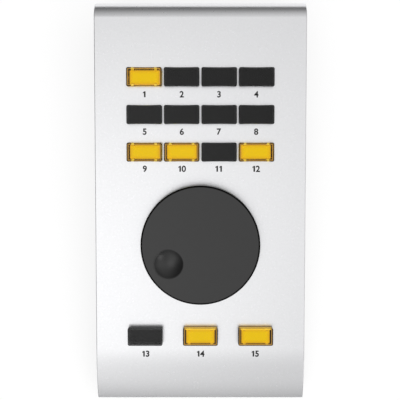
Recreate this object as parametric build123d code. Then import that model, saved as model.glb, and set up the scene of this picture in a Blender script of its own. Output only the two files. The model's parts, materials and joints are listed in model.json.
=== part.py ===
"""Desktop studio monitor controller: a formed aluminium cover on a die-cast base, with fifteen lit keys
and one large rotary dial on its sloping deck, and its sockets in the rear wall.

Row frame: millimetres, +X to the right, +Y to the rear, +Z up, origin on the desk under the middle of
the housing. The deck has a frame of its own, DECK: x to the right, v up the slope from the line where the
flat part starts, h out of the cover's outer skin.
"""

import os
from math import atan2, cos, degrees, radians, sin

from build123d import *

os.makedirs("parts", exist_ok=True)

# ---------------------------------------------------------------- driving dimensions

# Cover: one aluminium sheet, flat under the keys and the dial, with a wide arc at the front edge and a
# tight bend and a short lip at the rear. The flat part ends deck_rear_margin behind the last row of keys.
cover_width = 108.0
cover_gauge = 2.5
deck_rear_margin = 30.1
deck_slope = 6.0
deck_front_height = 17.6
front_radius = 70.0
front_turn = 24.0
rear_radius = 8.0
rear_lip = 4.0
front_edge_round = 1.2
side_edge_round = 0.5

# Base: a die-cast tub under the cover, a little narrower than it.
base_reveal = 1.5
base_gap = 0.3
base_wall = 2.0
base_floor = 2.0
base_corner_round = 3.0
base_bottom_chamfer = 0.8
desk_gap = 2.5
front_wall_setback = 1.5
boss_radius = 3.8
boss_rib = 1.6
floor_rib_height = 1.6
floor_rib_width = 1.4
floor_rib_pitch = 26.0
floor_rib_count = 3

# Rubber feet, each let into a shallow recess of the floor.
foot_radius = 6.0
foot_recess = 0.6
foot_fit = 0.2
foot_end_inset = 9.0
foot_side_inset = 16.5
foot_edge_chamfer = 0.6

# Keys: three rows of four at the rear of the deck, and one row of three at its front. The rows keep their
# distance from the edge of the dial between them.
key_pitch = 18.95
block_rows = 3
block_columns = 4
dial_to_block = 16.6
front_row_to_dial = 17.8
front_row_v = 6.8
front_row_pitch = 28.4
front_row_count = 3
key_travel = 1.2

cap_width = 17.9
block_cap_depth = 9.7
front_cap_depth = 9.1
cap_waist = 0.16
cap_corner_round = 0.9
cap_edge_chamfer = 0.35
cap_wall = 0.8
cap_roof = 0.8
cap_height = 3.4
cap_lift = 1.6

# Plunger under each cap: a light box whose top plate lies in the cover's opening. Four tabs rise from it to
# the cap's roof and grip its long walls. Below it has a foot along each long side and a post in its middle.
plate_depth = 1.9
plate_thickness = 1.2
plunger_end_gap = 0.45
plunger_side_gap = 0.2
plunger_wall = 0.9
plunger_corner_chamfer = 0.5
tab_width = 1.3
tab_depth = 0.55
tab_spread = 11.6
plunger_foot_reach = 0.8
plunger_foot_height = 1.2
plunger_post_span = 2.4
plunger_post_web = 0.9
plunger_post_drop = 1.8
plunger_fit = 0.2
stop_gap = 0.05
opening_margin = 0.4
opening_corner_round = 1.0

switch_wall = 0.8
switch_lip = 0.8
switch_top_gap = 0.8

dome_sides = 8
dome_foot_radius = 2.5
dome_top_radius = 1.4
dome_wall = 0.4
dome_gap = 0.05

lamp_length = 1.6
lamp_width = 1.0
lamp_height = 0.7
lamp_spread = 9.6

# Key board: hangs under the cover on tapped spacers.
board_depth = 9.3
board_thickness = 1.6
board_side_gap = 1.0
board_front_reach = 10.8
board_rear_margin = 6.0
board_corner_round = 2.0
chip_side = 10.0
chip_height = 1.4
chip_reach = 29.2
chip_x = -22.0

# Fasteners. All screws are metric 3 mm. The spacers are tapped, and pressed into blind pockets of the cover.
screw_radius = 1.5
screw_hole_gap = 0.2
thread_gap = 0.05
screw_head_radius = 2.75
screw_head_height = 1.8
screw_socket_radius = 1.2
counterbore_gap = 0.35
case_screw_grip = 2.4
screw_bite = 4.2
spacer_flats = 5.5
spigot_radius = 2.2
spigot_height = 1.2
spigot_fit = 0.05
side_screw_inset = 3.6
front_case_screw_reach = 10.2
rear_case_screw_reach = 10.0
rear_board_screw_reach = 16.5

# Dial: a moulded disc with a finger dish, on the shaft of a rotary encoder.
dial_radius = 30.2
dial_height = 10.0
dial_lift = 0.9
dial_wall = 2.2
dial_roof = 2.6
dial_edge_chamfer = 0.85
dish_radius = 7.4
dish_depth = 2.2
dish_reach = 18.6
dish_bearing = 210.4
dish_backing = 1.4
hub_radius = 5.0
hub_slot = 1.2
hub_clearance = 0.6
hub_rib_count = 6
hub_rib_width = 1.2
hub_rib_height = 3.6
clip_wall = 0.8
clip_height = 3.0
clip_gap = 0.6

# Rotary encoder, between the board and the cover, held by the nut on its bushing.
encoder_width = 13.4
encoder_depth = 12.4
encoder_plate = 1.1
encoder_cavity_radius = 5.4
encoder_floor = 1.0
rotor_radius = 5.0
rotor_height = 1.2
rotor_gap = 0.2
bushing_radius = 4.5
bushing_rise = 3.0
bushing_hole_gap = 0.2
shaft_radius = 3.0
shaft_fit = 0.05
shaft_flat = 1.5
shaft_seat = 5.6
washer_radius = 7.0
washer_thickness = 0.5
nut_flats = 12.0
nut_thickness = 2.0

# Connector board on the floor at the rear, with the data socket and the footswitch jack, each at its own
# reach from the board's near end.
rear_board_lift = 2.1
rear_board_width = 62.0
rear_board_length = 34.0
rear_board_gap = 0.6
rear_boss_radius = 3.0
rear_boss_inset = 4.5
rear_screw_bite = 3.0
rear_screw_tip_gap = 0.2

usb_end_reach = 16.0
usb_width = 12.0
usb_height = 10.9
usb_length = 16.0
usb_skin = 0.4
usb_mouth_width = 8.6
usb_mouth_height = 7.9
usb_mouth_depth = 9.0
usb_mouth_chamfer = 1.7
usb_tongue_width = 5.6
usb_tongue_height = 3.2
usb_tongue_recess = 0.7
usb_contact_width = 1.0
usb_contact_pitch = 2.5
usb_contact_thickness = 0.2
socket_hole_gap = 0.3
socket_stand_out = 0.3

jack_end_reach = 15.0
jack_width = 15.0
jack_height = 12.4
jack_length = 25.0
jack_bore_radius = 3.2
jack_bore_depth = 24.0
jack_nose_radius = 5.5
jack_nose_length = 4.4
jack_nut_flats = 14.0
jack_nut_thickness = 2.0

# Flat flexible cable between the two boards, with a low socket at each end.
ribbon_width = 12.0
ribbon_thickness = 0.4
ribbon_socket_length = 5.0
ribbon_socket_height = 2.0
ribbon_socket_margin = 1.5
ribbon_x = 12.0
ribbon_reach = 7.0
ribbon_bend = 3.4

# ---------------------------------------------------------------- places that follow from them

dial_v = front_row_v + front_row_to_dial + dial_radius
block_v = dial_v + dial_radius + dial_to_block
last_row_v = block_v + (block_rows - 1) * key_pitch
deck_length = last_row_v + deck_rear_margin

slope = radians(deck_slope)
tip_lean = radians(deck_slope + front_turn)


def arc_offset(radius, lean):
    """(y, z) from an arc's centre to its point whose outward normal leans by lean towards the front."""
    return Vector(-radius * sin(lean), radius * cos(lean))


# The side profile is worked out from the line where the flat part starts, then centred on the origin.
front_centre_from_start = arc_offset(front_radius, slope) * -1
tip_from_start = front_centre_from_start + arc_offset(front_radius, tip_lean)
rear_centre_from_start = Vector(deck_length * cos(slope), deck_length * sin(slope))
rear_centre_from_start -= arc_offset(rear_radius, slope)
front_reach = tip_from_start.X + front_edge_round * (sin(tip_lean) + cos(tip_lean) - 1)
rear_reach = rear_centre_from_start.X + rear_radius
deck_start = Vector(-(front_reach + rear_reach) / 2, deck_front_height)
front_centre = deck_start + front_centre_from_start
rear_centre = deck_start + rear_centre_from_start

DECK = Plane(
    origin=(0, deck_start.X, deck_start.Y),
    x_dir=(1, 0, 0),
    z_dir=(0, -sin(slope), cos(slope)),
)

base_width = cover_width - 2 * base_reveal
floor_top = desk_gap + base_floor
rear_wall_y = rear_centre.X + rear_radius - cover_gauge - base_gap
front_wall_y = front_centre.X + arc_offset(front_radius - cover_gauge, tip_lean).X + front_wall_setback

board_top = -board_depth
board_under = board_top - board_thickness
board_width = base_width - 2 * base_wall - 2 * board_side_gap
side_screw_x = board_width / 2 - side_screw_inset
front_case_screw_v = front_row_v + front_case_screw_reach
rear_case_screw_v = last_row_v + rear_case_screw_reach
rear_screw_v = last_row_v + rear_board_screw_reach
board_front_v = front_row_v - board_front_reach
board_rear_v = rear_screw_v + board_rear_margin
shaft_top = bushing_rise + hub_clearance + shaft_seat
dial_top = dial_lift + dial_height

cap_ceiling = cap_lift + cap_height - cap_roof
plate_under = -plate_depth - plate_thickness
plunger_width = cap_width - 2 * cap_wall - 2 * plunger_end_gap
switch_top = -cover_gauge - switch_top_gap
foot_top = switch_top - switch_lip - stop_gap
foot_under = foot_top - plunger_foot_height
post_end = foot_under - plunger_post_drop

rear_board_under = floor_top + rear_board_lift
rear_board_top = rear_board_under + board_thickness
rear_board_y = rear_wall_y - base_wall - rear_board_gap
usb_x = rear_board_width / 2 - usb_end_reach
jack_x = jack_end_reach - rear_board_width / 2
socket_z = rear_board_top + jack_height / 2


def block_places():
    """(x, v) of the keys in the rear block, from its rear left corner, row by row."""
    first_x = -key_pitch * (block_columns - 1) / 2
    for row in reversed(range(block_rows)):
        for column in range(block_columns):
            yield first_x + column * key_pitch, block_v + row * key_pitch


def front_places():
    """(x, v) of the keys in the front row, from the left."""
    first_x = -front_row_pitch * (front_row_count - 1) / 2
    for column in range(front_row_count):
        yield first_x + column * front_row_pitch, front_row_v


def case_screw_places():
    """(x, v) of the four screws that hold base, board and cover together."""
    for v in (front_case_screw_v, rear_case_screw_v):
        yield -side_screw_x, v
        yield side_screw_x, v


def board_screw_places():
    """(x, v) of the screws that hold only the key board."""
    middle_v = (front_case_screw_v + rear_case_screw_v) / 2
    yield -side_screw_x, middle_v
    yield side_screw_x, middle_v
    yield -front_row_pitch / 2, front_row_v
    yield front_row_pitch / 2, front_row_v
    yield 0, rear_screw_v


def key_rows():
    """(places, cap depth, waist) of the two groups of keys, in the order of their numbers."""
    return [(list(block_places()), block_cap_depth, cap_waist), (list(front_places()), front_cap_depth, 0)]


def plunger_depth(cap_depth, waist):
    """Depth of the plunger that fits a cap of this depth and waist."""
    return cap_depth - 2 * cap_wall - 2 * waist - 2 * plunger_side_gap


def rear_screw_places():
    """(x, y) of the screws that hold the connector board."""
    span = rear_board_width / 2 - rear_boss_inset
    for y in (rear_board_y - rear_boss_inset, rear_board_y - rear_board_length + rear_boss_inset):
        yield -span, y
        yield span, y


def foot_places():
    """(x, y) of the four feet."""
    across = base_width / 2 - foot_side_inset
    for y in (front_wall_y + foot_end_inset, rear_wall_y - foot_end_inset):
        yield -across, y
        yield across, y


# ---------------------------------------------------------------- shared shapes


def column(sketch, low, high):
    """A prism of the sketch between two heights of its own frame."""
    return extrude(Pos(0, 0, low) * sketch, high - low)


def bar(y_low, y_high, z_low, z_high, width):
    """A box across the middle of the housing, in the row frame."""
    size = Box(width, y_high - y_low, z_high - z_low)
    return Pos(0, (y_low + y_high) / 2, (z_low + z_high) / 2) * size


def on_deck(piece, places):
    """Copies of a piece at several (x, v) places of the deck, as separate solids."""
    return [DECK * Pos(x, v, 0) * piece for x, v in places]


def screw(length):
    """Socket-head screw with its seat at z = 0, its head below and its shank above."""
    head = column(Circle(screw_head_radius), -screw_head_height, 0)
    socket = column(RegularPolygon(screw_socket_radius, 6), -screw_head_height, -screw_head_height / 2)
    return head - socket + column(Circle(screw_radius), 0, length)


def keep(name, shapes):
    """Writes one sub-part, made of one solid or of several separate ones."""
    solids = [solid for shape in shapes for solid in shape.solids()]
    body = solids[0] if len(solids) == 1 else Compound(children=solids)
    export_step(body, f"parts/{name}.step")


# ---------------------------------------------------------------- cover


def skin_line(depth):
    """The cover's side profile at a depth under its outer skin: front arc, flat deck and rear bend."""
    front = CenterArc(front_centre, front_radius - depth, 90 + deck_slope, front_turn)
    rear = CenterArc(rear_centre, rear_radius - depth, 0, 90 + deck_slope)
    return front, Line(front @ 0, rear @ 1), rear


def under_skin(depth):
    """Side profile of all that lies deeper than depth under the cover's skin, down to the base's floor."""
    front, flat, rear = skin_line(depth)
    rear_foot = Vector((rear @ 0).X, desk_gap)
    front_foot = Vector((front @ 1).X, desk_gap)
    sides = [Line(rear @ 0, rear_foot), Line(rear_foot, front_foot), Line(front_foot, front @ 1)]
    return make_face(Curve() + [front, flat, rear, *sides])


def make_cover():
    """Sheet of even gauge along the profile, its edges broken, with the openings for keys and encoder."""
    outer = skin_line(0)
    inner = skin_line(cover_gauge)
    lip_end = Vector(0, -rear_lip)
    outer_lip = Line(outer[2] @ 0, (outer[2] @ 0) + lip_end)
    inner_lip = Line(inner[2] @ 0, (inner[2] @ 0) + lip_end)
    ends = [Line(outer[0] @ 1, inner[0] @ 1), Line(outer_lip @ 1, inner_lip @ 1)]
    profile = make_face(Curve() + [*outer, *inner, outer_lip, inner_lip, *ends])
    sheet = extrude(Plane.YZ * profile, cover_width / 2, both=True)

    across = sheet.edges().filter_by(Axis.X)
    sheet = fillet(across.sort_by(Axis.Y)[0], front_edge_round)
    ends = sheet.faces().sort_by(Axis.X)
    outer_points = [Vector(0, point.X, point.Y) for point in (line @ 0.5 for line in outer)]
    rims = [
        edge
        for end in (ends[0], ends[-1])
        for edge in end.edges()
        if any((edge @ 0.5 - Vector((edge @ 0.5).X, p.Y, p.Z)).length < 1 for p in outer_points)
    ]
    sheet = fillet(rims, side_edge_round)

    for places, depth, waist in key_rows():
        opening = RectangleRounded(
            plunger_width + 2 * opening_margin,
            plunger_depth(depth, waist) + 2 * opening_margin,
            opening_corner_round,
        )
        for cutter in on_deck(column(opening, -2 * cover_gauge, cover_gauge), places):
            sheet -= cutter
    bushing_hole = Circle(bushing_radius + bushing_hole_gap)
    sheet -= DECK * Pos(0, dial_v, 0) * column(bushing_hole, -2 * cover_gauge, cover_gauge)
    pocket = column(Circle(spigot_radius + spigot_fit), -2 * cover_gauge, spigot_height - cover_gauge)
    for cutter in on_deck(pocket, [*case_screw_places(), *board_screw_places()]):
        sheet -= cutter
    return sheet


# ---------------------------------------------------------------- base


def make_base():
    """Die-cast tub: floor, four walls up to the cover, screw bosses, ribs, holes and foot recesses."""
    tall = 4 * deck_front_height
    fit = cover_gauge + base_gap
    profile = under_skin(fit)
    ahead = Pos(front_wall_y - tall / 2, 0) * Rectangle(tall, 2 * tall)
    block = extrude(Plane.YZ * (profile - ahead), base_width / 2, both=True)
    block = fillet(block.edges().filter_by(Axis.Z), base_corner_round)
    block = chamfer(block.faces().sort_by(Axis.Z)[0].edges(), base_bottom_chamfer)

    inner_width = base_width - 2 * base_wall
    room = bar(front_wall_y + base_wall, rear_wall_y - base_wall, floor_top, tall, inner_width)
    room = fillet(room.edges().filter_by(Axis.Z), base_corner_round - base_wall / 2)
    tub = block - room

    inside = block & bar(front_wall_y, rear_wall_y, 0, tall, inner_width + base_wall)
    for x, v in case_screw_places():
        side = 1 if x > 0 else -1
        rib_reach = base_width / 2 - abs(x)
        stem = column(Circle(boss_radius), -tall, board_under)
        rib = Pos(side * rib_reach / 2, 0) * Rectangle(rib_reach, boss_rib)
        stem += column(rib, -tall, board_under - screw_head_height)
        tub += (DECK * Pos(x, v, 0) * stem) & inside
    for x, y in rear_screw_places():
        tub += Pos(x, y, 0) * column(Circle(rear_boss_radius), desk_gap, rear_board_under)
    for n in range(floor_rib_count):
        rib_y = (n - (floor_rib_count - 1) / 2) * floor_rib_pitch
        tub += Pos(0, rib_y, 0) * column(
            Rectangle(base_width - base_wall, floor_rib_width), desk_gap, floor_top + floor_rib_height
        )

    seat = board_under - case_screw_grip
    for x, v in case_screw_places():
        drill = column(Circle(screw_radius + screw_hole_gap), -tall, cover_gauge)
        drill += column(Circle(screw_head_radius + counterbore_gap), -tall, seat)
        tub -= DECK * Pos(x, v, 0) * drill
    for x, y in rear_screw_places():
        blind = rear_board_under - rear_screw_bite - rear_screw_tip_gap
        tub -= Pos(x, y, 0) * column(Circle(screw_radius + thread_gap), blind, tall)
    for x, y in foot_places():
        tub -= Pos(x, y, 0) * column(Circle(foot_radius + foot_fit), 0, desk_gap + foot_recess)

    usb_hole = Rectangle(usb_width + 2 * socket_hole_gap, usb_height + 2 * socket_hole_gap)
    usb_z = rear_board_top + usb_height / 2
    tub -= Pos(usb_x, rear_wall_y, usb_z) * Rot(X=90) * column(usb_hole, -2 * base_wall, 2 * base_wall)
    jack_hole = Circle(jack_nose_radius + socket_hole_gap)
    tub -= Pos(jack_x, rear_wall_y, socket_z) * Rot(X=90) * column(jack_hole, -2 * base_wall, 2 * base_wall)
    return tub


def make_foot():
    """Rubber disc, its wearing edge chamfered."""
    disc = column(Circle(foot_radius), 0, desk_gap + foot_recess)
    return chamfer(disc.faces().sort_by(Axis.Z)[0].edges(), foot_edge_chamfer)


# ---------------------------------------------------------------- keys


def waisted(width, depth, waist):
    """Rectangle whose long sides bow inwards by waist at their middle."""
    x, y = width / 2, depth / 2
    if waist > 0:
        rear = ThreePointArc((x, y), (0, y - waist), (-x, y))
        front = ThreePointArc((-x, -y), (0, -y + waist), (x, -y))
    else:
        rear = Line((x, y), (-x, y))
        front = Line((-x, -y), (x, -y))
    left = Line((-x, y), (-x, -y))
    right = Line((x, -y), (x, y))
    return make_face(Curve() + [rear, left, front, right])


def cap_room(depth, waist):
    """Outline of the hollow in a cap."""
    return waisted(cap_width - 2 * cap_wall, depth - 2 * cap_wall, waist)


def make_cap(depth, waist):
    """Clear cap: a shell open below, with waisted long walls."""
    outline = waisted(cap_width, depth, waist)
    outline = fillet(outline.vertices(), cap_corner_round)
    shell = column(outline, cap_lift, cap_lift + cap_height)
    shell = chamfer(shell.faces().sort_by(Axis.Z)[-1].edges(), cap_edge_chamfer)
    return shell - column(cap_room(depth, waist), 0, cap_ceiling)


def make_plunger(cap_depth, waist):
    """Light box under the cap: closed on top, open below, with its four tabs, two feet and cross post."""
    depth = plunger_depth(cap_depth, waist)
    outline = Rectangle(plunger_width, depth)
    box = column(chamfer(outline.vertices(), plunger_corner_chamfer), foot_under, -plate_depth)
    foot_outline = Rectangle(plunger_width - 2 * plunger_corner_chamfer, depth + 2 * plunger_foot_reach)
    box += column(foot_outline, foot_under, foot_top)
    chamber = Rectangle(plunger_width - 2 * plunger_wall, depth - 2 * plunger_wall)
    box -= column(chamber, foot_under, plate_under)
    for x in (-tab_spread / 2, tab_spread / 2):
        for side in (-1, 1):
            stem = Pos(x, side * (depth - tab_depth) / 2) * Rectangle(tab_width, tab_depth)
            pad_depth = cap_depth - depth + tab_depth
            pad = Pos(x, side * (cap_depth - tab_depth) / 2) * Rectangle(tab_width, pad_depth)
            box += column(stem, plate_under, cap_lift)
            box += column(pad & cap_room(cap_depth, waist), cap_lift, cap_ceiling)
    post = Rectangle(plunger_post_span, plunger_post_web) + Rectangle(plunger_post_web, plunger_post_span)
    return box + column(post, post_end, plate_under)


def make_switch_frame(depth):
    """Guide frame on the board, with a lip along each long side that holds the plunger's feet down."""
    room_width = plunger_width + 2 * plunger_fit
    room_depth = depth + 2 * plunger_foot_reach + 2 * plunger_fit
    outline = Rectangle(room_width + 2 * switch_wall, room_depth + 2 * switch_wall)
    frame = column(outline, board_top, switch_top)
    frame -= column(Rectangle(room_width, room_depth), board_top, switch_top - switch_lip)
    return frame - column(Rectangle(room_width, depth + 2 * plunger_fit), board_top, switch_top)


def make_dome():
    """Eight-sided snap dome on the board under the plunger's post."""
    height = post_end - dome_gap - board_top
    lean = degrees(atan2(dome_foot_radius - dome_top_radius, height))
    shell = extrude(RegularPolygon(dome_foot_radius, dome_sides), height, taper=lean)
    core_outline = RegularPolygon(dome_foot_radius - dome_wall, dome_sides)
    return Pos(0, 0, board_top) * (shell - extrude(core_outline, height - dome_wall, taper=lean))


def make_lamps():
    """The two lamps inside one plunger's light box."""
    lamp = column(Rectangle(lamp_width, lamp_length), board_top, board_top + lamp_height)
    return [Pos(-lamp_spread / 2, 0) * lamp, Pos(lamp_spread / 2, 0) * lamp]


# ---------------------------------------------------------------- key board


def make_key_board():
    """Board under the deck with a hole at every spacer."""
    length = board_rear_v - board_front_v
    outline = Pos(0, board_front_v + length / 2) * RectangleRounded(board_width, length, board_corner_round)
    for x, v in [*case_screw_places(), *board_screw_places()]:
        outline -= Pos(x, v) * Circle(screw_radius + screw_hole_gap)
    return DECK * column(outline, board_under, board_top)


def make_spacer():
    """Hexagonal spacer between the cover and the board, blind-tapped, with its spigot in the cover."""
    hexagon = RegularPolygon(spacer_flats / 2, 6, major_radius=False)
    spacer = column(hexagon, board_top, -cover_gauge)
    spacer += column(Circle(spigot_radius), -cover_gauge, spigot_height - cover_gauge)
    return spacer - column(Circle(screw_radius + thread_gap), board_top, -cover_gauge)


# ---------------------------------------------------------------- dial and encoder


def make_dial():
    """Disc with a chamfered rim, hollow below, with a finger dish, a split hub and radial ribs."""
    disc = column(Circle(dial_radius), dial_lift, dial_top)
    disc = chamfer(disc.faces().sort_by(Axis.Z)[-1].edges(), dial_edge_chamfer)
    ceiling = dial_top - dial_roof
    dial = disc - column(Circle(dial_radius - dial_wall), dial_lift, ceiling)

    hub_foot = bushing_rise + hub_clearance
    dial += column(Circle(hub_radius), hub_foot, ceiling)
    for n in range(hub_rib_count):
        span = dial_radius - dial_wall / 2 - hub_radius
        rib = Pos(hub_radius + span / 2 - 0.1, 0) * Rectangle(span, hub_rib_width)
        dial += Rot(Z=dish_bearing + (n + 0.5) * 360 / hub_rib_count) * column(
            rib, ceiling - hub_rib_height, ceiling
        )
    dish_at = Rot(Z=dish_bearing) * Pos(dish_reach, 0, 0)
    dial += dish_at * column(Circle(dish_radius + dish_backing / 2), ceiling - dish_backing, ceiling)

    ball_radius = (dish_radius**2 + dish_depth**2) / (2 * dish_depth)
    dial -= dish_at * Pos(0, 0, dial_top + ball_radius - dish_depth) * Sphere(ball_radius)
    dial -= column(shaft_outline(shaft_radius), hub_foot, shaft_top)
    clip_room = Circle(hub_radius + clip_wall + clip_gap) - Circle(hub_radius)
    split = Rectangle(hub_slot, 2 * hub_radius)
    return dial - column(clip_room + split, hub_foot, hub_foot + clip_height + clip_gap)


def shaft_outline(radius):
    """Round with one flat, for the shaft's end and the hub's bore."""
    flat = Pos(radius + shaft_flat, 0) * Rectangle(2 * radius, 4 * radius)
    return Circle(radius) - flat


def make_dial_clip():
    """Spring ring that closes the split hub on the shaft."""
    hub_foot = bushing_rise + hub_clearance
    ring = Circle(hub_radius + clip_wall) - Circle(hub_radius)
    ring -= Pos(-hub_radius, 0) * Rectangle(2 * hub_radius, hub_slot)
    return column(ring, hub_foot, hub_foot + clip_height)


def make_encoder_body():
    """Square case on the board with a round room for the rotor."""
    top = -cover_gauge - encoder_plate
    case = column(Rectangle(encoder_width, encoder_depth), board_top, top)
    return case - column(Circle(encoder_cavity_radius), board_top + encoder_floor, top)


def make_encoder_bushing():
    """Metal lid of the encoder with the bushing that stands up through the cover."""
    lid = column(
        Rectangle(encoder_width, encoder_depth), -cover_gauge - encoder_plate, -cover_gauge
    )
    lid += column(Circle(bushing_radius), -cover_gauge, bushing_rise)
    bore = column(Circle(shaft_radius + shaft_fit), -2 * cover_gauge, 2 * bushing_rise)
    return lid - bore


def make_encoder_shaft():
    """Shaft with the rotor in the case and a flat on its upper end."""
    rotor_top = -cover_gauge - encoder_plate - rotor_gap
    shaft = column(Circle(rotor_radius), rotor_top - rotor_height, rotor_top)
    shaft += column(Circle(shaft_radius), rotor_top, bushing_rise)
    pivot_foot = board_top + encoder_floor + rotor_gap
    shaft += column(Circle(shaft_radius / 2), pivot_foot, rotor_top - rotor_height)
    return shaft + column(shaft_outline(shaft_radius), bushing_rise, shaft_top)


def make_encoder_washer():
    """Flat washer on the cover."""
    return column(Circle(washer_radius) - Circle(bushing_radius + thread_gap), 0, washer_thickness)


def make_encoder_nut():
    """Thin hexagonal nut on the bushing."""
    hexagon = RegularPolygon(nut_flats / 2, 6, major_radius=False)
    outline = hexagon - Circle(bushing_radius + thread_gap)
    return column(outline, washer_thickness, washer_thickness + nut_thickness)


# ---------------------------------------------------------------- connector board


def make_rear_board():
    """Small board on the base's rear bosses."""
    middle = rear_board_y - rear_board_length / 2
    outline = Pos(0, middle) * RectangleRounded(rear_board_width, rear_board_length, board_corner_round)
    for x, y in rear_screw_places():
        outline -= Pos(x, y) * Circle(screw_radius + screw_hole_gap)
    return column(outline, rear_board_under, rear_board_top)


def usb_place():
    """Frame of the data socket's mouth: z out of the rear wall, y up."""
    mouth_y = rear_wall_y + socket_stand_out
    return Plane(
        origin=(usb_x, mouth_y, rear_board_top + usb_height / 2), x_dir=(-1, 0, 0), z_dir=(0, 1, 0)
    )


def make_usb_shell():
    """Folded steel jacket round the socket, open at the mouth."""
    outer = column(Rectangle(usb_width, usb_height), -usb_length, 0)
    inner = Rectangle(usb_width - 2 * usb_skin, usb_height - 2 * usb_skin)
    return usb_place() * (outer - column(inner, -usb_length + usb_skin, 0))


def make_usb_insulator():
    """Moulded block inside the jacket, with the square mouth and the tongue in its middle."""
    block = column(
        Rectangle(usb_width - 2 * usb_skin, usb_height - 2 * usb_skin), -usb_length + usb_skin, 0
    )
    mouth = Rectangle(usb_mouth_width, usb_mouth_height)
    mouth = chamfer(mouth.vertices().sort_by(Axis.Y)[-2:], usb_mouth_chamfer)
    block -= column(mouth, -usb_mouth_depth, 0)
    tongue = Rectangle(usb_tongue_width, usb_tongue_height)
    return usb_place() * (block + column(tongue, -usb_mouth_depth, -usb_tongue_recess))


def make_usb_contacts():
    """Four contact strips, two on each face of the tongue."""
    strip = Rectangle(usb_contact_width, usb_contact_thickness)
    y = usb_tongue_height / 2 + usb_contact_thickness / 2
    bars = []
    for side_y in (-y, y):
        for x in (-usb_contact_pitch / 2, usb_contact_pitch / 2):
            at = Pos(x, side_y) * strip
            bars.append(usb_place() * column(at, -usb_mouth_depth, -2 * usb_tongue_recess))
    return bars


def jack_place():
    """Frame of the footswitch jack: z out of the rear wall's inner face, y up."""
    return Plane(
        origin=(jack_x, rear_wall_y - base_wall, socket_z), x_dir=(-1, 0, 0), z_dir=(0, 1, 0)
    )


def make_jack_body():
    """Moulded jack with its nose through the wall and a blind bore for the plug."""
    body = column(Rectangle(jack_width, jack_height), -jack_length, 0)
    body += column(Circle(jack_nose_radius), 0, jack_nose_length)
    bore = column(Circle(jack_bore_radius), jack_nose_length - jack_bore_depth, jack_nose_length)
    return jack_place() * (body - bore)


def make_jack_nut():
    """Hexagonal nut that clamps the jack to the rear wall."""
    hexagon = RegularPolygon(jack_nut_flats / 2, 6, major_radius=False)
    outline = hexagon - Circle(jack_nose_radius + thread_gap)
    return jack_place() * column(outline, base_wall, base_wall + jack_nut_thickness)


# ---------------------------------------------------------------- flat cable


def ribbon_ends():
    """Points where the cable leaves the lower and the upper socket, as (y, z)."""
    low_y = rear_board_y - rear_board_length + ribbon_socket_length + ribbon_socket_margin
    low = Vector(low_y - ribbon_socket_length, rear_board_top + ribbon_socket_height / 2)
    upper_v = (low.X - deck_start.X) / cos(slope)
    upper_h = board_under - ribbon_socket_height / 2
    upper = deck_start + Vector(cos(slope), sin(slope)) * upper_v + arc_offset(upper_h, slope)
    return low, upper


def make_ribbon_sockets():
    """Low sockets for the flat cable: one on the connector board, one under the key board."""
    low, upper = ribbon_ends()
    outline = Rectangle(ribbon_width + 2 * ribbon_socket_margin, ribbon_socket_height)
    lower_frame = Plane(origin=(ribbon_x, low.X, low.Y), x_dir=(-1, 0, 0), z_dir=(0, 1, 0))
    upper_frame = Plane(
        origin=(ribbon_x, upper.X, upper.Y), x_dir=(-1, 0, 0), z_dir=(0, cos(slope), sin(slope))
    )
    socket = column(outline, 0, ribbon_socket_length)
    return [lower_frame * socket, upper_frame * socket]


def make_ribbon():
    """Flat cable from the lower socket forwards, up and back into the upper one."""
    low, upper = ribbon_ends()
    low_turn = low - Vector(ribbon_reach, 0)
    upper_turn = upper - Vector(cos(slope), sin(slope)) * ribbon_reach
    path = FilletPolyline(low, low_turn, upper_turn, upper, radius=ribbon_bend)
    band = trace(path, line_width=ribbon_thickness)
    return Pos(ribbon_x, 0, 0) * extrude(Plane.YZ * band, ribbon_width / 2, both=True)


# ---------------------------------------------------------------- assembly


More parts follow.
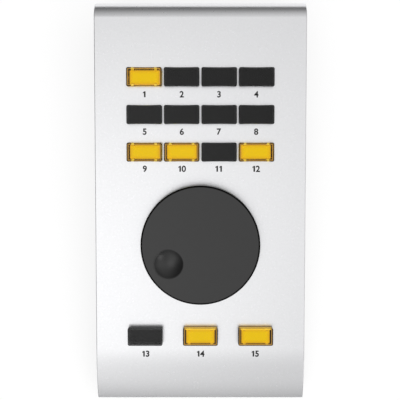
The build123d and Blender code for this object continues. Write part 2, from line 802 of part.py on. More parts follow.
def main():
    """Builds every sub-part in its place and writes each to its own file."""
    keep("top_cover", [make_cover()])
    keep("base_shell", [make_base()])
    keep("rubber_feet", [Pos(x, y, 0) * make_foot() for x, y in foot_places()])

    caps, plungers, frames, domes, lamps = [], [], [], [], []
    for places, depth, waist in key_rows():
        caps += on_deck(make_cap(depth, waist), places)
        plungers += on_deck(make_plunger(depth, waist), places)
        frames += on_deck(make_switch_frame(plunger_depth(depth, waist)), places)
        domes += on_deck(make_dome(), places)
        for lamp in make_lamps():
            lamps += on_deck(lamp, places)
    for number, (cap, plunger) in enumerate(zip(caps, plungers), start=1):
        keep(f"key_cap_{number:02d}", [cap])
        keep(f"key_plunger_{number:02d}", [plunger])
    keep("switch_frames", frames)
    keep("key_domes", domes)
    keep("key_lamps", lamps)

    keep("key_board", [make_key_board()])
    keep("board_spacers", on_deck(make_spacer(), [*case_screw_places(), *board_screw_places()]))
    case_screw = Pos(0, 0, board_under - case_screw_grip) * screw(
        case_screw_grip + board_thickness + screw_bite
    )
    keep("case_screws", on_deck(case_screw, case_screw_places()))
    board_screw = Pos(0, 0, board_under) * screw(board_thickness + screw_bite)
    keep("board_screws", on_deck(board_screw, board_screw_places()))
    chip = Pos(chip_x, dial_v + chip_reach) * Rectangle(chip_side, chip_side)
    keep("control_chip", [DECK * column(chip, board_under - chip_height, board_under)])

    at_dial = [(0, dial_v)]
    keep("dial", on_deck(make_dial(), at_dial))
    keep("dial_clip", on_deck(make_dial_clip(), at_dial))
    keep("encoder_shaft", on_deck(make_encoder_shaft(), at_dial))
    keep("encoder_body", on_deck(make_encoder_body(), at_dial))
    keep("encoder_bushing", on_deck(make_encoder_bushing(), at_dial))
    keep("encoder_washer", on_deck(make_encoder_washer(), at_dial))
    keep("encoder_nut", on_deck(make_encoder_nut(), at_dial))

    keep("connector_board", [make_rear_board()])
    rear_screw = Rot(X=180) * screw(board_thickness + rear_screw_bite)
    keep("connector_screws", [Pos(x, y, rear_board_top) * rear_screw for x, y in rear_screw_places()])
    keep("usb_shell", [make_usb_shell()])
    keep("usb_insulator", [make_usb_insulator()])
    keep("usb_contacts", make_usb_contacts())
    keep("jack_body", [make_jack_body()])
    keep("jack_nut", [make_jack_nut()])
    keep("ribbon_sockets", make_ribbon_sockets())
    keep("ribbon_cable", [make_ribbon()])


main()
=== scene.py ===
"""Studio monitor controller: a silver cover with lit keys and one large dial, on a black base.

Sizes are in millimetres and become metres where they reach a mesh. A place on the sloping deck is
(x, v, h): x to the right, v up the slope from where the flat part starts, h out of the metal.
"""

import json
from math import cos, pi, radians, sin

import bmesh
import bpy
import numpy as np
from mathutils import Matrix, Vector


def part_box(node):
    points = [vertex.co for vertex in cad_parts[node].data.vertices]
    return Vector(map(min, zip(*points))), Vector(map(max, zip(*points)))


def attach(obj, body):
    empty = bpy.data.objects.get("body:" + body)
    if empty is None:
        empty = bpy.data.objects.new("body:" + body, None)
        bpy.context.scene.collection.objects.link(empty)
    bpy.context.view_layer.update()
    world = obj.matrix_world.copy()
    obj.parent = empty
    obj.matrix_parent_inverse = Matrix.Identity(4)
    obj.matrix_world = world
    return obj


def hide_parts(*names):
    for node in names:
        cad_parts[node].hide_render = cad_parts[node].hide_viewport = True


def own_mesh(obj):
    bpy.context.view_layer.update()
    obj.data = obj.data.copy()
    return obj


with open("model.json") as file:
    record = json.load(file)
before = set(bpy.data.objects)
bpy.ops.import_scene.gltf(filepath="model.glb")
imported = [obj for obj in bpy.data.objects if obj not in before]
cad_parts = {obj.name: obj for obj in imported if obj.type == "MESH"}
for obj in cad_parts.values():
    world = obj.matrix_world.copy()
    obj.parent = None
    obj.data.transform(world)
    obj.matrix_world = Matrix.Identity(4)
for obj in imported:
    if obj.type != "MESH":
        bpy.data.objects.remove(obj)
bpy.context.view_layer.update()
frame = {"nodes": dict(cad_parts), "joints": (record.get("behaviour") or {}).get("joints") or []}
scene = bpy.context.scene
MM = 0.001

# ---------------------------------------------------------------- deck and camera
# The deck is the flat part of the cover, and the dial turns about its normal, so the dial's joint gives the
# slope. The camera looks at the deck almost square on, from nearly half a metre, leaning back four degrees.
dial_v = 54.8
view_distance = 461.5
view_lean = radians(4.12)
view_target = (-0.2, 77.0, 0.0)
lens = 81.0
sensor_width = 36.0

dial_joint = next(joint for joint in frame["joints"] if joint["name"] == "dial_turn")
deck_right = Vector((1, 0, 0))
deck_normal = Vector(dial_joint["axis"])
deck_up = deck_normal.cross(deck_right)
deck_start = Vector(dial_joint["pos_m"]) - deck_up * dial_v * MM
deck_slope = deck_up.angle((0, 1, 0))


def on_deck(places):
    """Row-frame points in metres of (x, v, h) places: deck_start + x * right + v * up the slope + h * normal."""
    axes = np.array([deck_right, deck_up, deck_normal])
    return np.array(deck_start) + np.asarray(places, float) @ axes * MM


towards_camera = deck_normal * cos(view_lean) + deck_up * sin(view_lean)
camera_data = bpy.data.cameras.new("camera")
camera_data.sensor_width = sensor_width
camera_data.lens = lens
camera = bpy.data.objects.new("camera", camera_data)
camera_turn = Matrix((deck_right, towards_camera.cross(deck_right), towards_camera)).transposed().to_4x4()
camera_place = Vector(on_deck(view_target)) + towards_camera * view_distance * MM
camera.matrix_world = Matrix.Translation(camera_place) @ camera_turn
scene.collection.objects.link(camera)
scene.camera = camera

# ---------------------------------------------------------------- base tub
# A die-cast tub, powder-coated black, that carries everything. The cover sits over its walls, and four
# screws from below draw the two together.


def fill(node, inputs):
    """Sets inputs of a node. Each is a value or the output of another node."""
    for name, value in inputs.items():
        if isinstance(value, bpy.types.NodeSocket):
            node.id_data.links.new(value, node.inputs[name])
        else:
            node.inputs[name].default_value = value
    return node


def new_node(tree, kind, inputs={}, **settings):
    """A new node of a kind, with its settings and its inputs."""
    made = tree.nodes.new(f"ShaderNode{kind}")
    for name, value in settings.items():
        setattr(made, name, value)
    return fill(made, inputs)


def new_surface(name, inputs):
    """A new material and the shader of its surface, with some of its inputs."""
    made = bpy.data.materials.new(name)
    made.use_nodes = True
    return made, fill(made.node_tree.nodes["Principled BSDF"], inputs)


def finish(name, colour, roughness, grain, relief, metallic=0.0, tone=0.1, mirror=0.5):
    """Surface of one colour with a fine grain. Noise of the grain's size raises it by relief, and noise
    fifteen times broader shifts the colour by tone and the roughness by a third of tone."""
    made, surface = new_surface(name, {"Metallic": metallic, "Specular IOR Level": mirror})
    tree = made.node_tree
    place = new_node(tree, "TexCoord").outputs["Object"]
    fine = new_node(tree, "TexNoise", {"Vector": place, "Scale": 1 / (grain * MM), "Detail": 3.0})
    bump = new_node(tree, "Bump", {"Height": fine.outputs["Fac"], "Distance": relief * MM})
    broad = new_node(tree, "TexNoise", {"Vector": place, "Scale": 1 / (15 * grain * MM)}).outputs["Fac"]
    darker, lighter = ((*(part * (1 + shift) for part in colour), 1) for shift in (-tone, tone))
    shade = new_node(tree, "Mix", {"Factor": broad, "A": darker, "B": lighter}, data_type="RGBA")
    rougher, smoother = roughness + tone / 3, roughness - tone / 3
    gloss = new_node(tree, "MapRange", {"Value": broad, "To Min": rougher, "To Max": smoother})
    fill(surface, {
        "Normal": bump.outputs["Normal"],
        "Base Color": shade.outputs["Result"],
        "Roughness": gloss.outputs["Result"],
    })
    return made


def put_in_scene(name, mesh, material, body, slot, *nodes, sharp=35):
    """Makes the mesh a piece: rounded shading except at edges over sharp degrees, riding on its body."""
    mesh.name = name
    mesh.materials.clear()
    mesh.materials.append(material)
    mesh.shade_smooth()
    mesh.set_sharp_from_angle(angle=radians(sharp))
    piece = bpy.data.objects.new(name, mesh)
    scene.collection.objects.link(piece)
    evener = piece.modifiers.new("even_normals", "WEIGHTED_NORMAL")
    evener.keep_sharp = True
    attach(piece, body)
    if nodes:
        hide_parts(*nodes)
    return piece


def merged_copy(node, merge=0.002, flat=0.3):
    """Copy of a node's mesh with its loose triangles merged, and with triangles that lie flat made one face."""
    mesh = frame["nodes"][node].data.copy()
    shape = bmesh.new()
    shape.from_mesh(mesh)
    bmesh.ops.remove_doubles(shape, verts=shape.verts, dist=merge * MM)
    bmesh.ops.dissolve_limit(shape, angle_limit=radians(flat), verts=shape.verts, edges=shape.edges)
    shape.to_mesh(mesh)
    shape.free()
    return mesh


powder_coat = finish("powder_coat", (0.028, 0.028, 0.030), 0.55, 0.45, 0.02)
put_in_scene("base_tub", merged_copy("base_shell"), powder_coat, "housing", "base_paint", "base_shell")

# ---------------------------------------------------------------- feet and case screws
# Four matt rubber discs pressed into recesses under the floor, and four blackened screws in deep
# counterbores beside them.
rubber = finish("foot_rubber", (0.022, 0.022, 0.022), 0.85, 0.3, 0.03)
put_in_scene("feet", merged_copy("rubber_feet"), rubber, "housing", "foot_rubber", "rubber_feet")


def dress(node, material):
    """Gives a node of the construction its finish, in place of the plain one that it came with."""
    mesh = frame["nodes"][node].data
    mesh.materials.clear()
    mesh.materials.append(material)


black_oxide = finish("black_oxide", (0.05, 0.05, 0.052), 0.38, 0.2, 0.006, metallic=0.8)
dress("case_screws", black_oxide)

# ---------------------------------------------------------------- connector board and rear sockets
# A small board on four posts of the floor. Its square data socket is a folded, plated jacket over a white
# moulding with gilt contacts, and its footswitch jack is clamped in the rear wall by a nut.
solder_mask = finish("solder_mask", (0.012, 0.11, 0.045), 0.32, 1.2, 0.02, tone=0.25)
nickel = finish("nickel_plate", (0.66, 0.64, 0.60), 0.24, 0.5, 0.003, metallic=1.0, tone=0.04)
zinc = finish("zinc_plate", (0.60, 0.61, 0.64), 0.34, 0.3, 0.006, metallic=1.0, tone=0.06)
black_moulding = finish("black_moulding", (0.022, 0.022, 0.023), 0.42, 0.25, 0.008)
white_moulding = finish("white_moulding", (0.70, 0.69, 0.65), 0.40, 0.3, 0.005, tone=0.03)
gilt = finish("gilt_contact", (0.83, 0.60, 0.22), 0.22, 0.2, 0.002, metallic=1.0, tone=0.04)
dress("connector_board", solder_mask)
dress("connector_screws", zinc)
dress("usb_shell", nickel)
dress("usb_insulator", white_moulding)
dress("usb_contacts", gilt)
put_in_scene("jack", merged_copy("jack_body"), black_moulding, "housing", "black_moulding", "jack_body")
put_in_scene("jack_ring_nut", merged_copy("jack_nut"), nickel, "housing", "nickel_plate", "jack_nut", sharp=25)

# ---------------------------------------------------------------- key board and its parts
# The board hangs under the cover on nine tapped spacers. It carries the switch frames, snap domes and lamps
# of the keys and the controller chip, and a flat cable joins it to the connector board.
spring_steel = finish("spring_steel", (0.58, 0.57, 0.55), 0.28, 0.3, 0.004, metallic=1.0, tone=0.05)
lamp_epoxy = finish("lamp_epoxy", (0.80, 0.52, 0.12), 0.18, 0.4, 0.002, tone=0.15)
chip_epoxy = finish("chip_epoxy", (0.018, 0.018, 0.019), 0.62, 0.12, 0.006)
cable_film = finish("cable_film", (0.72, 0.72, 0.70), 0.30, 0.8, 0.004, tone=0.04)
dress("key_board", solder_mask)
dress("switch_frames", black_moulding)
dress("key_lamps", lamp_epoxy)
dress("board_spacers", nickel)
dress("board_screws", zinc)
dress("control_chip", chip_epoxy)
dress("ribbon_sockets", white_moulding)
dress("ribbon_cable", cable_film)

# ---------------------------------------------------------------- cover
# One aluminium sheet, 2.5 mm thick, bead-blasted and silver anodised. A wide arc bends its front edge down,
# a tight bend its rear, and the keys and the encoder's bushing stand in cut openings.
cover_width = (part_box("top_cover")[1].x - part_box("top_cover")[0].x) / MM
cover_gauge = 2.5
deck_length = 169.6
front_radius = 70.0
front_turn = radians(24)
front_edge_round = 1.2
rear_radius = 8.0
rear_lip = 4.0
side_edge_round = 0.5
opening_width = 16.2
opening_corner = 1.0
bushing_hole_radius = 4.7
arc_points = 34

key_pitch = 18.95
block_rows_v = (139.5, 120.55, 101.6)
block_cap_depth = 9.7
front_row_v = 6.8
front_row_pitch = 28.4
front_cap_depth = 9.1
opening_depths = {block_cap_depth: 8.18, front_cap_depth: 7.9}

block_keys = [((column - 1.5) * key_pitch, v, block_cap_depth) for v in block_rows_v for column in range(4)]
front_keys = [((column - 1) * front_row_pitch, front_row_v, front_cap_depth) for column in range(3)]
keys = dict(enumerate(block_keys + front_keys, start=1))


def skin(points, rings):
    """Closed mesh over rings of equal count: each ring is joined to the next by a band of quads, and the
    first and the last are closed by one face each. It is turned so that its faces look outwards."""
    count = len(points) // rings
    across, along = np.meshgrid(np.arange(count), np.arange(rings - 1))
    here, beside = along * count + across, along * count + (across + 1) % count
    bands = np.stack([here, beside, beside + count, here + count], axis=-1).reshape(-1, 4)
    ends = [list(range(count))[::-1], list(range((rings - 1) * count, rings * count))]
    mesh = bpy.data.meshes.new("skin")
    mesh.from_pydata(points.tolist(), [], bands.tolist() + ends)
    shape = bmesh.new()
    shape.from_mesh(mesh)
    if shape.calc_volume(signed=True) < 0:
        bmesh.ops.reverse_faces(shape, faces=shape.faces)
    shape.to_mesh(mesh)
    shape.free()
    return mesh


def deck_skin(rings):
    """Closed mesh over rings that are given in (x, v, h)."""
    rings = np.asarray(rings, float)
    return skin(on_deck(rings.reshape(-1, 3)), len(rings))


def cover_sheet():
    """The sheet: its rounded section, in x and depth under the skin, carried along the side profile.
    The profile is front arc, flat, rear bend and lip. In the bends a place at angle a from the deck's normal
    is (R sin a, R cos a - R), and the section lies along the normal (sin a, cos a) there. The front edge is
    rounded as r (1 - cos t) along the arc and r (1 - sin t) in depth."""
    t = np.linspace(0, pi / 2, 8)
    edge_angle = -front_turn + front_edge_round * (1 - np.cos(t)) / front_radius
    front_angle = np.concatenate([edge_angle, np.linspace(edge_angle[-1], 0, arc_points)[1:]])
    top_depth = np.concatenate([front_edge_round * (1 - np.sin(t)), np.zeros(arc_points - 1)])
    rear_angle = np.linspace(0, pi / 2 + deck_slope, arc_points)
    v = np.concatenate([front_radius * np.sin(front_angle), deck_length + rear_radius * np.sin(rear_angle)])
    h = np.concatenate([front_radius * np.cos(front_angle) - front_radius,
                        rear_radius * np.cos(rear_angle) - rear_radius])
    angle = np.concatenate([front_angle, rear_angle, rear_angle[-1:]])
    v = np.append(v, v[-1] + rear_lip * cos(angle[-1]))
    h = np.append(h, h[-1] - rear_lip * sin(angle[-1]))
    top_depth = np.append(top_depth, np.zeros(len(rear_angle) + 1))

    u = np.linspace(0, pi / 2, 6)
    corner_x = cover_width / 2 - side_edge_round * (1 - np.cos(u))
    corner_depth = side_edge_round * (1 - np.sin(u))
    x = np.concatenate([[cover_width / 2], corner_x, -corner_x[::-1], [-cover_width / 2]])
    depth = top_depth[:, None] + np.concatenate([corner_depth, corner_depth[::-1]])
    foot = np.full((len(v), 1), cover_gauge)
    depth = np.concatenate([foot, depth, foot], axis=1)
    rings = np.stack([
        np.broadcast_to(x, depth.shape),
        v[:, None] - depth * np.sin(angle)[:, None],
        h[:, None] - depth * np.cos(angle)[:, None],
    ], axis=-1)
    return deck_skin(rings)


def key_outline(width, depth, waist, corner, side_points=13, corner_points=6):
    """Loop round a rectangle with round corners. Each long side bows in: at x it is moved towards the middle
    by waist * (1 - (2 x / width)^2)."""
    turn = np.linspace(0, pi / 2, corner_points)
    middle = np.array([width / 2 - corner, depth / 2 - corner])
    rounding = middle + corner * np.stack([np.cos(turn), np.sin(turn)], axis=1)
    x = np.linspace(middle[0], -middle[0], side_points)[1:-1]
    side = np.stack([x, np.full_like(x, depth / 2)], axis=1)
    half = np.concatenate([rounding, side, rounding[::-1] * (-1, 1)])
    loop = np.concatenate([half, -half])
    loop[:, 1] -= np.sign(loop[:, 1]) * waist * (1 - (2 * loop[:, 0] / width) ** 2)
    return loop


def raised(loop, height):
    """The loop at one height above the deck, as (x, v, h)."""
    return np.column_stack([loop, np.full(len(loop), height)])


def moved(rings, x, v):
    """Rings moved to their place on the deck."""
    return np.asarray(rings) + (x, v, 0)


def joined(meshes):
    """One mesh of several."""
    shape = bmesh.new()
    for mesh in meshes:
        shape.from_mesh(mesh)
        bpy.data.meshes.remove(mesh)
    made = bpy.data.meshes.new("joined")
    shape.to_mesh(made)
    shape.free()
    return made


def cut(mesh, prisms):
    """The mesh with the prisms taken away from it."""
    body = bpy.data.objects.new("body", mesh)
    tool = bpy.data.objects.new("tool", prisms)
    for made in (body, tool):
        scene.collection.objects.link(made)
    work = body.modifiers.new("work", "BOOLEAN")
    work.operation, work.solver, work.object = "DIFFERENCE", "EXACT", tool
    result = bpy.data.meshes.new_from_object(body.evaluated_get(bpy.context.evaluated_depsgraph_get()))
    for made in (body, tool):
        bpy.data.objects.remove(made)
    return result


def circle(radius, points=64):
    """Loop round a circle: radius times (cos a, sin a)."""
    a = np.linspace(0, 2 * pi, points, endpoint=False)
    return radius * np.stack([np.cos(a), np.sin(a)], axis=1)


def through(loop, x, v):
    """Prism along the deck's normal, right through the sheet."""
    return deck_skin(moved([raised(loop, -3 * cover_gauge), raised(loop, cover_gauge)], x, v))


openings = [
    through(key_outline(opening_width, opening_depths[depth], 0, opening_corner), x, v)
    for x, v, depth in keys.values()
]
openings.append(through(circle(bushing_hole_radius), 0, dial_v))
silver = finish("silver_anodised", (0.84, 0.842, 0.856), 0.28, 0.06, 0.002, metallic=1.0, tone=0.045)
put_in_scene("cover", cut(cover_sheet(), joined(openings)), silver, "housing", "cover_metal", "top_cover")

# ---------------------------------------------------------------- encoder
# The dial turns on a rotary encoder: a black moulded case, soldered to the key board, with a plated shaft and
# bushing. The threaded bushing is held in the cover by a washer and a thin nut, and a ring of spring steel
# clips the dial's split hub to the shaft.
dress("encoder_body", black_moulding)
dress("encoder_bushing", nickel)
dress("encoder_washer", nickel)
dress("encoder_nut", nickel)
dress("encoder_shaft", nickel)
dress("dial_clip", spring_steel)

# ---------------------------------------------------------------- dial
# A dark satin moulding, 60 mm across and hollow below, pressed on the encoder's shaft. Its top has a round
# dish for a fingertip. The rounding of its edge is made darker and barely reflective: painted shade.
dial_radius = 30.2
dial_foot = 0.9
dial_top = 10.9
rim_round = 0.9
foot_round = 0.3
rim_wall = 2.2
dial_roof = 2.6
hub_radius = 5.0
hub_foot = 3.6
bore_radius = 3.03
bore_top = 9.2
dish_radius = 7.4
dish_depth = 2.2
dish_reach = 18.6
dish_bearing = radians(210.4)
dish_lip = 0.45
round_points = 144
# Bands of faces, counted from the dish: the first of the edge's rounding, and the first below it.
rim_band = 35
side_band = 43


def dial_skin():
    """Rings from the middle of the dish, over the top, down the rim and up inside to the bore. The dish is a
    ball's cap with its lip blended in. Over the top, ring t of 0 to 1 has its centre at (1 - t) of the way
    to the dish's and its radius t of the way from the lip's to the rim's, so the rings never cross."""
    ball = (dish_radius**2 + dish_depth**2) / (2 * dish_depth)
    out = np.linspace(0.02, 1, 22) * (dish_radius - dish_lip)
    bowl = dial_top - dish_depth + ball - np.sqrt(ball**2 - out**2)
    t = np.linspace(0, 1, 7)[1:]
    lip_out = (1 - t) ** 2 * out[-1] + 2 * t * (1 - t) * dish_radius + t**2 * (dish_radius + dish_lip)
    lip_height = (1 - t) ** 2 * bowl[-1] + (1 - (1 - t) ** 2) * dial_top
    inner_top, outer_top = dish_radius + dish_lip, dial_radius - rim_round
    t = np.linspace(0, 1, 9)[1:]
    over = inner_top + (outer_top - inner_top) * t
    turn = np.linspace(0, pi / 2, 9)[1:]
    rim = dial_radius - rim_round + rim_round * np.sin(turn)
    rim_height = dial_top - rim_round + rim_round * np.cos(turn)
    foot = dial_radius - foot_round + foot_round * np.cos(turn)
    foot_height = dial_foot + foot_round - foot_round * np.sin(turn)
    inside = [dial_radius - rim_wall, dial_radius - rim_wall, hub_radius, hub_radius, bore_radius, bore_radius]
    ceiling = dial_top - dial_roof
    inside_height = [dial_foot, ceiling, ceiling, hub_foot, hub_foot, bore_top]

    radius = np.concatenate([out, lip_out, over, rim, [dial_radius], foot, inside])
    height = np.concatenate([bowl, lip_height, np.full(len(over), dial_top), rim_height, [dial_foot + foot_round],
                             foot_height, inside_height])
    in_dish = len(out) + len(lip_out)
    shift = np.concatenate([np.ones(in_dish), 1 - t, np.zeros(len(radius) - in_dish - len(t))])
    dish_place = dish_reach * np.array([cos(dish_bearing), sin(dish_bearing)])
    places = radius[:, None, None] * circle(1.0, round_points) + (shift[:, None] * dish_place)[:, None, :]
    heights = np.broadcast_to(height[:, None, None], (*places.shape[:2], 1))
    return deck_skin(moved(np.concatenate([places, heights], axis=-1), 0, dial_v))


satin = finish("satin_moulding", (0.010, 0.010, 0.010), 0.30, 0.16, 0.003, tone=0.06, mirror=0.66)
# Painted shade: the rim's rounding gets a darker, barely reflective material, so that it shows as a black ring.
rim_painted_shade = finish("rim_painted_shade_moulding", (0.006, 0.006, 0.006), 0.55, 0.16, 0.003, tone=0.06, mirror=0.08)
dial = put_in_scene("dial_disc", dial_skin(), satin, "dial", "dial_moulding", "dial")
dial.data.materials.append(rim_painted_shade)
band = np.arange(len(dial.data.polygons)) // round_points
dial.data.polygons.foreach_set("material_index", ((band >= rim_band) & (band < side_band)).astype(np.int32))

# ---------------------------------------------------------------- snap domes
# Under each key's post a small dome of spring steel is taped to the board. The post presses it flat against
# its contact, and it springs back.
board_depth = 9.3
dome_radius = 2.5
dome_height = 2.1
dome_wall = 0.4
dome_power = 1.1
dome_crown = 0.985


def dome_shell(radius, height, wall):
    """Rings of the dome: out along its underside and back over its top. Each side follows
    r = radius * cos(a) ^ power, h = height * sin(a) ^ power, for a from 0 at the foot to a crown just short
    of a quarter turn."""
    a = np.linspace(0, dome_crown * pi / 2, 11)
    out, up = np.cos(a) ** dome_power, np.sin(a) ** dome_power
    radii = np.concatenate([(radius - wall) * out[::-1], radius * out])
    heights = np.concatenate([(height - wall) * up[::-1], height * up])
    return [raised(circle(r, 32), h - board_depth) for r, h in zip(radii, heights)]


for number, (x, v, depth) in keys.items():
    mesh = deck_skin(moved(dome_shell(dome_radius, dome_height, dome_wall), x, v))
    dome = put_in_scene(f"snap_dome_{number:02d}", mesh, spring_steel, "housing", "dome_steel", "key_domes")
    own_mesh(dome)

# ---------------------------------------------------------------- light guides
# In every opening lies the plate of a moulded light box, with four tabs that stand up from it to grip the cap.
# Six of the keys are lit amber by two lamps each, on the board below, and the others are dark.
plate_width = 15.4
plate_play = 0.8
lamp_strength = 12.0
plate_depth = 1.9
plate_glow_reach = 0.8
cap_foot = 1.6
film_height = 2.5
lit_keys = (1, 9, 10, 12, 14, 15)
# Glow at distances from a line that runs one tab margin outside the plate: pale on the tabs, deep along the
# plate's edges, and yellow over its middle.
tab_margin = 1.0
amber_steps = [
    (0.92, (0.81, 0.90, 0.24)),
    (1.0, (0.52, 0.39, 0.04)),
    (1.6, (0.74, 0.67, 0.016)),
    (3.0, (0.80, 0.80, 0.0)),
]


def reckoned(tree, operation, *values):
    """Result of one step of arithmetic by a node. Each value is a number or the output of another node."""
    step = new_node(tree, "Math", operation=operation)
    for socket, value in zip(step.inputs, values):
        if isinstance(value, bpy.types.NodeSocket):
            tree.links.new(value, socket)
        else:
            socket.default_value = value
    return step.outputs["Value"]


def key_measures(tree, x, v, width, depth):
    """Three values for a material of one key, in its own millimetres: the distance to the nearest edge of a
    width * depth rectangle, as the lower of width / 2 - |x| and depth / 2 - |v|, the distance |x| from its
    middle, and the height h."""
    centred = new_node(tree, "Mapping", {
        "Vector": new_node(tree, "TexCoord").outputs["Object"],
        "Location": on_deck((x, v, 0)),
        "Rotation": (deck_slope, 0, 0),
        "Scale": (MM, MM, MM),
    }, vector_type="TEXTURE")
    own = new_node(tree, "SeparateXYZ", {"Vector": centred.outputs["Vector"]}).outputs
    across, along = reckoned(tree, "ABSOLUTE", own["X"]), reckoned(tree, "ABSOLUTE", own["Y"])
    room_across = reckoned(tree, "SUBTRACT", width / 2, across)
    room_along = reckoned(tree, "SUBTRACT", depth / 2, along)
    return reckoned(tree, "MINIMUM", room_across, room_along), across, own["Z"]


def ramp(tree, value, top, steps):
    """Colour of a value from 0 to top, by steps of (place, colour)."""
    colours = new_node(tree, "ValToRGB", {"Fac": reckoned(tree, "DIVIDE", value, top)})
    marks = colours.color_ramp.elements
    marks.remove(marks[1])
    for n, (place, colour) in enumerate(steps):
        mark = marks[0] if n == 0 else marks.new(place / top)
        mark.position, mark.color = place / top, (*colour, 1)
    return colours.outputs["Color"]


def amber_light(name, x, v, width, depth, lowest, plate_height=None):
    """Glow of one lit plate of width * depth, deeper along its edges and paler on the tabs that stand beyond
    them. It starts at the height called lowest, and where plate_height is given the plate there glows too,
    but not the feet of the tabs between the two."""
    amber = {"Base Color": (0.30, 0.15, 0.01, 1), "Roughness": 0.5, "Specular IOR Level": 0.1}
    made, surface = new_surface(name, amber)
    tree = made.node_tree
    nearest, _, height = key_measures(tree, x, v, width + 2 * tab_margin, depth + 2 * tab_margin)
    glowing = reckoned(tree, "GREATER_THAN", height, lowest)
    if plate_height is not None:
        at_plate = reckoned(tree, "COMPARE", height, plate_height, plate_glow_reach)
        glowing = reckoned(tree, "MAXIMUM", glowing, at_plate)
    fill(surface, {
        "Emission Color": ramp(tree, nearest, amber_steps[-1][0], amber_steps),
        "Emission Strength": reckoned(tree, "MULTIPLY", glowing, lamp_strength),
    })
    return made


dark_guide = finish("dark_guide", (0.016, 0.015, 0.014), 0.5, 0.3, 0.004)
for number, (x, v, depth) in keys.items():
    guide = f"key_plunger_{number:02d}"
    if number in lit_keys:
        lowest, plate_height = (film_height, None) if depth == front_cap_depth else (cap_foot, -plate_depth)
        reach = opening_depths[depth] - plate_play
        dress(guide, amber_light(f"amber_light_{number:02d}", x, v, plate_width, reach, lowest, plate_height))
    else:
        dress(guide, dark_guide)

# ---------------------------------------------------------------- key caps
# A hollow cap of smoke-tinted clear plastic stands over each light box, gripped by the box's four tabs. On a lit
# key its plastic is tinted warmer and its walls and top get a painted glow. Its top is polished, and its walls
# are finely textured.
cap_width = 17.9
cap_waist = 0.16
cap_corner = 0.9
cap_wall = 0.77
cap_top = 5.0
cap_edge_round = 0.35
cap_ceiling = 4.23
# A cap's faces: so many in each band, the band that is its outer wall, and how squarely a face of the long
# sides looks up or down the slope.
outline_points = 46
wall_band = 2
square_on = 0.9

polished, textured = 0.06, 0.45
plastic_bend, lit_bend = 1.37, 1.27
smoke_tint = (0.08, 0.08, 0.08)
# Lit caps are tinted warmer than dark ones: painted amber light inside them, not another plastic.
lit_glow_tint = (0.085, 0.055, 0.02)
dark, white = (0.0, 0.0, 0.0), (1.0, 1.0, 1.0)
line_light = (0.37, 0.20, 0.04)
line_shift = 0.5
# A painted glow: a brighter strip at the rear edge of the front row's lit caps.
strip_light = (0.78, 0.48, 0.03)
strip_width = 15.5
strip_depth = 0.85
strip_fade = 0.2
# The painted glow of a lit cap's long outer walls.
wall_light = (0.45, 0.29, 0.03)
# Painted glow where the ends of the tabs would show in the block's lit caps.
tab_spread = 11.6
tab_width = 1.3
tab_reach = 0.9
tab_light = (0.50, 0.36, 0.06)
# Painted glow at distances inwards from a cap's edge: a thin line all round, and the tabs' ends across it.
edge_zone = 2.0
line_steps = [(0.55, dark), (0.65, line_light), (1.00, line_light), (1.12, dark)]
tab_steps = [(tab_reach, tab_light), (tab_reach + 0.1, dark)]


def cap_shell(depth, waist):
    """Outer loops rise from the foot and turn over the edge as r (1 - cos t), r sin t, and the inner loops go
    back down from the ceiling to the foot, so that the shell is one closed skin."""
    t = np.linspace(0, pi / 2, 6)
    rings = []
    inner = key_outline(cap_width - 2 * cap_wall, depth - 2 * cap_wall, waist, cap_corner / 3)
    rings.append(raised(inner, cap_ceiling))
    rings.append(raised(inner, cap_foot))
    rings.append(raised(key_outline(cap_width, depth, waist, cap_corner), cap_foot))
    for inset, drop in zip(cap_edge_round * (1 - np.cos(t)), cap_edge_round * (1 - np.sin(t))):
        loop = key_outline(cap_width - 2 * inset, depth - 2 * inset, waist, cap_corner - inset)
        rings.append(raised(loop, cap_top - drop))
    return rings


def smoked_clear(name, tint, roughness, bend):
    """Tinted clear plastic whose index of refraction is bend."""
    return new_surface(name, {
        "Base Color": (*tint, 1),
        "Roughness": roughness,
        "IOR": bend,
        "Transmission Weight": 1.0,
    })


def lit_clear(name, x, v, depth):
    """The plastic round a lit plate, tinted warmer for its light, with a painted glow on the top: a thin line
    along the top with the ends of the tabs across it. In the front row's shallower caps the line lies out at the
    rear edge, in a brighter strip."""
    made, surface = smoked_clear(name, lit_glow_tint, polished, lit_bend)
    tree = made.node_tree
    in_front = depth == front_cap_depth
    shift = line_shift if in_front else 0.0
    nearest, across, height = key_measures(tree, x, v + shift / 2, cap_width, depth + shift)
    line = ramp(tree, nearest, edge_zone, line_steps)
    if in_front:
        inside, _, _ = key_measures(tree, x, v + (depth - strip_depth) / 2, strip_width, strip_depth)
        part = ramp(tree, inside, strip_fade, [(0.0, dark), (strip_fade, white)])
        other = (*strip_light, 1)
    else:
        part = reckoned(tree, "COMPARE", across, tab_spread / 2, tab_width / 2)
        other = ramp(tree, nearest, edge_zone, tab_steps)
    glow = new_node(tree, "Mix", {"Factor": part, "A": line, "B": other}, data_type="RGBA")
    fill(surface, {
        "Emission Color": glow.outputs["Result"],
        "Emission Strength": reckoned(tree, "GREATER_THAN", height, cap_top - cap_edge_round),
    })
    return made


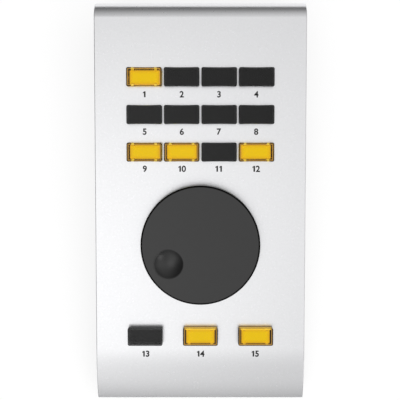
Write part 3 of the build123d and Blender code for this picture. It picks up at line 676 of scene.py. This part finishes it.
smoked, _ = smoked_clear("smoked_clear", smoke_tint, polished, plastic_bend)
smoked_wall, _ = smoked_clear("smoked_wall", smoke_tint, textured, plastic_bend)
# The long walls of lit caps: the warmer tint and an even painted glow.
lit_wall, lit_wall_surface = smoked_clear("lit_wall", lit_glow_tint, textured, plastic_bend)
fill(lit_wall_surface, {"Emission Color": (*wall_light, 1), "Emission Strength": 1.0})
for number, (x, v, depth) in keys.items():
    waist = cap_waist if depth == block_cap_depth else 0
    mesh = deck_skin(moved(cap_shell(depth, waist), x, v))
    top = lit_clear(f"lit_clear_{number:02d}", x, v, depth) if number in lit_keys else smoked
    put_in_scene(f"clear_cap_{number:02d}", mesh, top, f"key_{number:02d}", "cap_clear", f"key_cap_{number:02d}")
    mesh.materials.append(smoked_wall)
    mesh.materials.append(lit_wall if number in lit_keys else smoked_wall)
    facing = np.empty(len(mesh.polygons) * 3, np.float32)
    mesh.polygons.foreach_get("normal", facing)
    long_side = np.abs(facing.reshape(-1, 3) @ np.array(deck_up)) > square_on
    wall = np.arange(len(mesh.polygons)) // outline_points == wall_band
    mesh.polygons.foreach_set("material_index", (wall * (1 + long_side)).astype(np.int32))

# ---------------------------------------------------------------- glowing films
# In the two lit keys of the front row a thin amber film lies between the light box's tabs and glows over nearly
# the whole cap: painted light that widens these two keys' glow.
film_width = 14.7
film_depth = 7.4
film_thickness = 0.25
film_corner = 0.4
film_skin = 0.05
filmed_keys = (14, 15)

for number in filmed_keys:
    x, v, depth = keys[number]
    loop = key_outline(film_width, film_depth, 0, film_corner)
    mesh = deck_skin(moved([raised(loop, film_height - film_thickness), raised(loop, film_height)], x, v))
    # Each film is a glowing sheet: painted light.
    amber = amber_light(f"amber_film_{number}", x, v, film_width, film_depth, film_height - film_skin)
    put_in_scene(f"glowing_film_{number}", mesh, amber, f"key_{number:02d}", "plunger_amber_lit")

# ---------------------------------------------------------------- key numbers
# Plain numbers from 1 to 15 lie in front of the keys. They are screen-printed on the anodised deck, in a dark
# ink film about a hundredth of a millimetre thick.
digit_height = 3.0
digit_advance = 2.0
block_number_drop = 8.6
front_number_drop = 9.8
ink_thickness = 0.012
# In the font a figure is so high for a size of 1, and its strokes are widened a little.
font_figure = 0.69
stroke_gain = 0.13
figure_one = [(-0.09, -0.5), (0.18, -0.5), (0.18, 0.5), (0.0, 0.5), (-0.26, 0.34), (-0.26, 0.13), (-0.09, 0.24)]


def figure(digit, x, v):
    """One flat figure, an ink film thick: the 1 from its outline, in parts of its height, the 9 from a 6 turned
    half round, and the others from the font."""
    if digit == "1":
        loop = np.array(figure_one) * digit_height
        return deck_skin(moved([raised(loop, 0), raised(loop, ink_thickness)], x, v))
    text = bpy.data.curves.new("figure", "FONT")
    text.body = "6" if digit == "9" else digit
    text.align_x, text.align_y = "CENTER", "CENTER"
    text.size = digit_height / font_figure
    text.offset = stroke_gain
    text.extrude = ink_thickness / 2
    carrier = bpy.data.objects.new("figure", text)
    scene.collection.objects.link(carrier)
    mesh = bpy.data.meshes.new_from_object(carrier.evaluated_get(bpy.context.evaluated_depsgraph_get()))
    bpy.data.objects.remove(carrier)
    flat = np.empty(len(mesh.vertices) * 3, np.float32)
    mesh.vertices.foreach_get("co", flat)
    flat = flat.reshape(-1, 3)
    middle = (flat.min(axis=0) + flat.max(axis=0)) / 2
    way = -1 if digit == "9" else 1
    placed = on_deck((flat - middle) * (way, way, 1) + (x, v, ink_thickness / 2))
    mesh.vertices.foreach_set("co", placed.astype(np.float32).ravel())
    return mesh


ink = finish("dark_ink", (0.012, 0.012, 0.013), 0.6, 0.2, 0.002)
prints = []
for number, (x, v, depth) in keys.items():
    drop = block_number_drop if depth == block_cap_depth else front_number_drop
    first = x - digit_advance * (len(str(number)) - 1) / 2
    prints += [figure(digit, first + place * digit_advance, v - drop) for place, digit in enumerate(str(number))]
put_in_scene("key_numbers", joined(prints), ink, "housing", "black_moulding")

# ---------------------------------------------------------------- table, lamps and room
# A plain pale table in a dim room with large soft lights: the strongest overhead, a little to the left, and
# weaker ones to the front, the right and the rear, which leaves the cover's bends and the dial's rim dark.
floor_size = 12.0
floor_grey = 0.44
floor_shown = 0.77
floor_mesh = bpy.data.meshes.new("floor")
corner = floor_size / 2
floor_mesh.from_pydata(
    [(-corner, -corner, 0), (corner, -corner, 0), (corner, corner, 0), (-corner, corner, 0)], [], [(0, 1, 2, 3)]
)
floor = bpy.data.objects.new("floor", floor_mesh)
scene.collection.objects.link(floor)


def white_table():
    """White floor. To the camera, and in reflections and clear parts, it also shows a little light of its own."""
    made, surface = new_surface("white_table", {
        "Base Color": (floor_grey, floor_grey, floor_grey, 1),
        "Roughness": 0.9,
        "Specular IOR Level": 0.0,
        "Emission Color": (1, 1, 1, 1),
    })
    tree = made.node_tree
    ray = new_node(tree, "LightPath").outputs
    seen = reckoned(tree, "MAXIMUM", ray["Is Camera Ray"], ray["Is Glossy Ray"])
    seen = reckoned(tree, "MAXIMUM", seen, ray["Is Transmission Ray"])
    fill(surface, {"Emission Strength": reckoned(tree, "MULTIPLY", seen, floor_shown)})
    return made


floor_mesh.materials.append(white_table())


# Soft lights of the room: degrees from overhead to the right and to the front, sharpness, and strength.
soft_lights = [
    (-10.4, 14.0, 23.8, 1.12),
    (35.3, 17.9, 10.9, 0.81),
    (-0.3, 56.4, 12.2, 0.55),
    (9.0, -19.3, 5.8, 0.53),
    (-23.3, 40.5, 18.4, 0.80),
    (30.0, 49.0, 110.0, 2.4),
]
room_dimmest = 0.103


def room_light():
    """Light from all round. Each soft light adds strength * exp(sharpness * (cos a - 1)) at angle a from its
    middle."""
    room = bpy.data.worlds.new("room")
    room.use_nodes = True
    tree = room.node_tree
    way = new_node(tree, "TexCoord").outputs["Generated"]
    total = room_dimmest
    for to_right, to_front, sharpness, strength in soft_lights:
        across, forward = radians(to_right), radians(to_front)
        cosine = new_node(tree, "VectorMath", {"Vector": way}, operation="DOT_PRODUCT")
        cosine.inputs[1].default_value = (sin(across), -sin(forward) * cos(across), cos(forward) * cos(across))
        fall = reckoned(tree, "SUBTRACT", cosine.outputs["Value"], 1.0)
        bright = reckoned(tree, "EXPONENT", reckoned(tree, "MULTIPLY", fall, sharpness))
        total = reckoned(tree, "ADD", reckoned(tree, "MULTIPLY", bright, strength), total)
    fill(tree.nodes["Background"], {"Strength": total, "Color": (1, 1, 1, 1)})
    return room


scene.world = room_light()

scene.view_settings.view_transform = "Standard"
